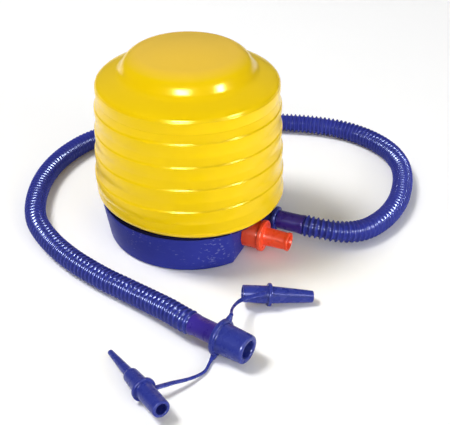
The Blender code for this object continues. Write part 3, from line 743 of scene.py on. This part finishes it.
def shoulder_curve(start, steps=14):
    """Points from the dome's foot out and down to the top rib's rim, on one smooth curve."""
    end = math.radians(FOOT_END)
    rim = Vector((crest_radius(0), crest_height(RIM_SHARE)))
    start = Vector(start)
    reach = rim.x - start.x
    leaving = start + Vector((math.sin(end), -math.cos(end))) * reach * SHOULDER_PULL[0]
    arriving = rim + Vector((0.0, reach * SHOULDER_PULL[1]))
    points = []
    for k in range(1, steps + 1):
        t = k / steps
        point = start * (1 - t) ** 3 + leaving * (3 * t * (1 - t) ** 2) + arriving * (3 * t**2 * (1 - t))
        points.append(tuple(point + rim * t**3))
    return points


def make_foot_pad():
    """The dome, its shoulder and the top rib's face, down to the seam with the folds."""
    dome = dome_outline()
    outer = dome + shoulder_curve(dome[-1]) + rib_curve(0, RIM_SHARE, GROOVE_SHARE)[1:]
    outer[-1] = (outer[-1][0], crest_height(GROOVE_SHARE))
    inner = [(max(0.0, r - PAD_WALL), z - (WALL if z > TOP_RIB_HEIGHT + 1.0 else 0.0)) for r, z in outer]
    mesh = lathe("foot_pad_skin", outer + inner[::-1], BELLOWS_SEGMENTS)
    add_piece("foot_pad_skin", mesh, YELLOW, "pedal", ["foot_pad"], smooth=80.0)


def make_spring():
    """The return spring inside the bellows, with closed end coils."""
    wire, coil, turns, flat = SPRING_WIRE_RADIUS, SPRING_RADIUS, SPRING_TURNS, SPRING_CLOSED_TURN
    top = SPRING_TOP
    low = LIP_BOTTOM + wire
    high = top - wire
    steps = 40
    angle = np.arange(turns * steps + 1) / steps
    share = np.clip((angle - flat) / (turns - 2.0 * flat), 0.0, 1.0)
    closed = np.clip(angle, 0.0, flat) + np.clip(angle - turns + flat, 0.0, flat)
    closed_rise = 2.2 * wire
    height = low + closed * closed_rise / flat + (high - low - 2.0 * closed_rise) * share
    turn = 2.0 * math.pi * angle
    line = np.stack([coil * np.cos(turn), coil * np.sin(turn), height], axis=1) * MM
    sections = np.full((len(line), 2), wire * MM)
    mesh = sweep("spring_coil", line, sections, 12)
    spring = add_piece(
        "spring_coil", mesh, STEEL, "pump_base", ["return_spring"], smooth=60.0)
    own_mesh(spring)


def base_ring(radius, flat, height, arc_steps=120, flat_steps=12):
    """A circle's points in millimetres with one side cut straight."""
    half = math.acos(flat / radius)
    turns = np.linspace(half, 2.0 * math.pi - half, arc_steps + 1)
    across = np.linspace(-1.0, 1.0, flat_steps + 1)[1:-1] * radius * math.sin(half)
    ahead = np.concatenate([radius * np.cos(turns), np.full(len(across), flat)])
    aside = np.concatenate([radius * np.sin(turns), across])
    cos, sin = math.cos(FLAT_AZIMUTH), math.sin(FLAT_AZIMUTH)
    return [(a * cos - s * sin, a * sin + s * cos, height) for a, s in zip(ahead, aside)]


def make_base():
    """The base's moulded cup: a tapered wall with a thin skirt, one flat side and a recessed foot."""
    top, foot, height, skirt = BASE_TOP_RADIUS, BASE_FOOT_RADIUS, BASE_HEIGHT, BASE_SKIRT_TOP
    inside = top - BASE_SKIRT_WALL
    outline = [
        (0.0, 1.6), (foot - 7.0, 1.6), (foot - 5.6, 0.0, 0.5), (foot, 0.0, 3.4), (top, height, 2.0),
        (top, skirt, 0.15), (inside, skirt, 0.1), (inside, height + 0.5, 0.0), (top - 2.8, height + 0.5, 0.4),
        (foot - 2.0, 2.5, 1.0), (0.0, 2.5),
    ]
    outline = rounded(outline, 0.3, 5, closed=False)
    points, faces, rings = [], [], []
    for radius, level in outline:
        if radius == 0.0:
            rings.append([len(points)])
            points.append((0.0, 0.0, level * MM))
            continue
        inward = max(0.0, top - radius - max(0.0, height - level) * (top - foot) / height)
        ring = base_ring(radius, BASE_FLAT - inward, level)
        rings.append(list(range(len(points), len(points) + len(ring))))
        points += [tuple(c * MM for c in p) for p in ring]
    for low, high in zip(rings, rings[1:]):
        for k in range(max(len(low), len(high))):
            here, after = k % len(low), (k + 1) % len(low)
            there, then = k % len(high), (k + 1) % len(high)
            faces.append(list(dict.fromkeys([low[here], low[after], high[then], high[there]])))
    mesh = mesh_of("base_shell", points, faces)
    add_piece("base_shell", mesh, BASE_BLUE, "pump_base", ["base_cup"], smooth=50.0)


def make_ports():
    """The hose port's ring and spigot, and the red air inlet's hub and spout."""
    outward = direction(FLAT_AZIMUTH)
    port = [
        (4.8, -3.9), (6.0, -3.9), (6.0, 0.3, 0.0), (7.6, 0.3, 0.0), (7.6, 13.8, 0.5), (9.8, 13.8, 0.9),
        (9.8, 17.0, 0.9), (5.3, 17.0, 0.3), (5.3, 29.0), (4.9, 30.5), (3.6, 30.5), (3.6, 4.0), (4.8, 3.0),
    ]
    hub = [
        (7.0, -7.0), (8.5, -7.0), (8.5, 0.3, 0.0), (11.2, 0.3, 0.3), (11.2, 12.5, 0.7), (9.0, 12.5, 0.3),
        (9.0, 4.7, 0.2), (7.0, 4.7, 0.2),
    ]
    spout = [
        (4.5, 8.5, 0.2), (8.7, 8.5, 0.2), (8.7, 12.8, 0.2), (12.4, 12.8, 0.8), (12.4, 16.4, 1.0),
        (7.2, 16.7, 0.9), (6.8, 33.8, 0.5), (7.3, 34.6, 0.5), (7.3, 36.6, 0.5), (6.3, 36.6, 0.4),
        (5.7, 31.0, 2.0), (5.2, 24.0, 2.0), (5.2, 12.0, 0.4), (4.5, 11.0, 0.4),
    ]
    jobs = (
        ("outlet_port_shell", port, OUTLET, SMOOTH_BLUE, "blue_plastic", "outlet_port"),
        ("inlet_hub_shell", hub, INLET, RED, "red_plastic", "inlet_hub"),
        ("inlet_spout_shell", spout, INLET, RED, "red_plastic", "inlet_spout"),
    )
    for name, outline, where, finish, slot, node in jobs:
        mesh = lathe(name, rounded(outline, 0.3, 5), 96)
        add_piece(name, mesh, finish, "pump_base", [node], along(outward, port_place(*where)))


def finish_nodes():
    """Give the CAD nodes that stay visible their materials."""
    looks = {
        # the deck gets the near-black painted shade finish
        "bellows_deck": DECK_PAINTED_SHADE, "bellows_clamp_ring": SMOOTH_BLUE,
        "outlet_valve_seat": SMOOTH_BLUE, "inlet_nut": SMOOTH_BLUE, "outlet_valve_flap": BLACK,
        "inlet_valve_flap": BLACK, "pad_stiffener": WHITE,
    }
    for node, finish in looks.items():
        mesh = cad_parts[node].data
        mesh.materials.clear()
        mesh.materials.append(finish)


def make_floor():
    """A plain white floor under the pump."""
    bm = bmesh.new()
    bmesh.ops.create_grid(bm, x_segments=4, y_segments=4, size=FLOOR_REACH)
    mesh = bpy.data.meshes.new("floor")
    bm.to_mesh(mesh)
    bm.free()
    made = Finish("floor_white", 0.9, Specular_IOR_Level=0.0)
    made.colour(made.mixed(made.noise(3.0), (0.96, 0.96, 0.96), (0.98, 0.98, 0.98)))
    mesh.materials.append(made.material)
    floor = bpy.data.objects.new("floor", mesh)
    bpy.context.scene.collection.objects.link(floor)


def add_light(name, azimuth, elevation, distance, size, power, glint=False):
    """A softbox that looks at the bellows: azimuth from the front, positive to the right."""
    turn, rise = math.radians(azimuth), math.radians(elevation)
    away = Vector((math.sin(turn) * math.cos(rise), -math.cos(turn) * math.cos(rise), math.sin(rise)))
    data = bpy.data.lights.new(name, "AREA")
    data.shape = "RECTANGLE"
    data.size, data.size_y = size
    data.energy = power
    lamp = bpy.data.objects.new(name, data)
    lamp.location = LAMPS_LOOK_AT + away * distance
    lamp.rotation_mode = "QUATERNION"
    lamp.rotation_quaternion = away.to_track_quat("Z", "Y")
    lamp.visible_diffuse = not glint
    lamp.visible_glossy = glint
    lamp.visible_camera = False
    bpy.context.scene.collection.objects.link(lamp)


def make_world():
    """A white room: white to the camera, softer to matt light, and dim to reflections but for up behind."""
    world = bpy.data.worlds.new("studio")
    world.use_nodes = True
    tree = world.node_tree
    place = tree.nodes.new("ShaderNodeTexCoord").outputs["Generated"]
    toward = tree.nodes.new("ShaderNodeVectorMath")
    toward.operation = "DOT_PRODUCT"
    toward.inputs[1].default_value = UP_BEHIND
    tree.links.new(place, toward.inputs[0])
    sky = tree.nodes.new("ShaderNodeMapRange")
    dim, bright = REFLECTED_LIGHT
    for socket, value in (("From Min", 0.45), ("From Max", 0.8), ("To Min", dim), ("To Max", bright)):
        sky.inputs[socket].default_value = value
    tree.links.new(toward.outputs["Value"], sky.inputs["Value"])
    ray = tree.nodes.new("ShaderNodeLightPath")
    strength = tree.nodes.new("ShaderNodeMix")
    strength.inputs[2].default_value = MATT_LIGHT
    tree.links.new(ray.outputs["Is Glossy Ray"], strength.inputs[0])
    tree.links.new(sky.outputs["Result"], strength.inputs[3])
    background = tree.nodes["Background"]
    background.inputs["Color"].default_value = (1.0, 1.0, 1.0, 1.0)
    seen = tree.nodes.new("ShaderNodeMix")
    seen.inputs[3].default_value = SEEN_LIGHT
    tree.links.new(ray.outputs["Is Camera Ray"], seen.inputs[0])
    tree.links.new(strength.outputs[0], seen.inputs[2])
    tree.links.new(seen.outputs[0], background.inputs["Strength"])
    bpy.context.scene.world = world


def make_lights():
    """A key from the left for the shadows, a fill at the right, and two cards for the glints in front."""
    add_light("key", azimuth=-97.0, elevation=60.0, distance=3.0, size=(0.9, 0.9), power=70.0)
    add_light("fill", azimuth=38.0, elevation=12.0, distance=1.8, size=(1.0, 0.6), power=17.0)
    glint = {"elevation": 27.0, "distance": 1.2, "glint": True}
    add_light("front_glint", azimuth=-10.0, size=(0.40, 0.20), power=60.0, **glint)
    add_light("side_glint", azimuth=56.0, size=(0.20, 0.17), power=20.0, **glint)
    settings = bpy.context.scene.view_settings
    settings.view_transform = "Standard"
    settings.look = "None"


make_camera()
hose, cuffs, hose_path, hose_length = make_hose()
connector, lugs = make_connector()
make_nozzles()
make_bellows()
make_foot_pad()
make_spring()
make_base()
make_ports()
finish_nodes()
make_floor()
make_world()
make_lights()
